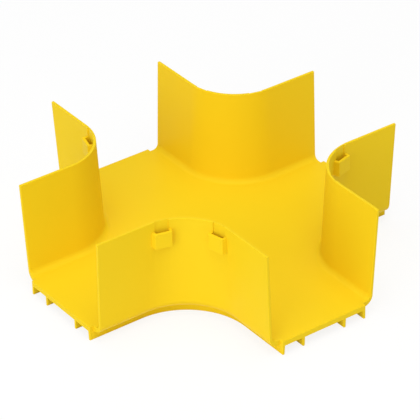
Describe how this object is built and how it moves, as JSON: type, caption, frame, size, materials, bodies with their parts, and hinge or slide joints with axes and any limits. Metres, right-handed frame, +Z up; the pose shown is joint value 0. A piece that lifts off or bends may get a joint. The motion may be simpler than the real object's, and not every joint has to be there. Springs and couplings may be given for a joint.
{
  "type": "fibre raceway cross fitting",
  "caption": "Open cross-shaped fitting of a fibre raceway: leaning side walls swept round hollow corners, ribbed floor and outside loops for the cover's latches.",
  "frame": {"origin": "on the ground in the middle of the cross, under the centre of the floor", "axes": "+Z up; the four arms run along +X, -X, +Y and -Y"},
  "size_m": [0.351, 0.351, 0.113],
  "materials": {
    "yellow_plastic": "satin"
  },
  "bodies": {
    "root": {"raceway_cross": "yellow_plastic"}
  },
  "joints": []
}
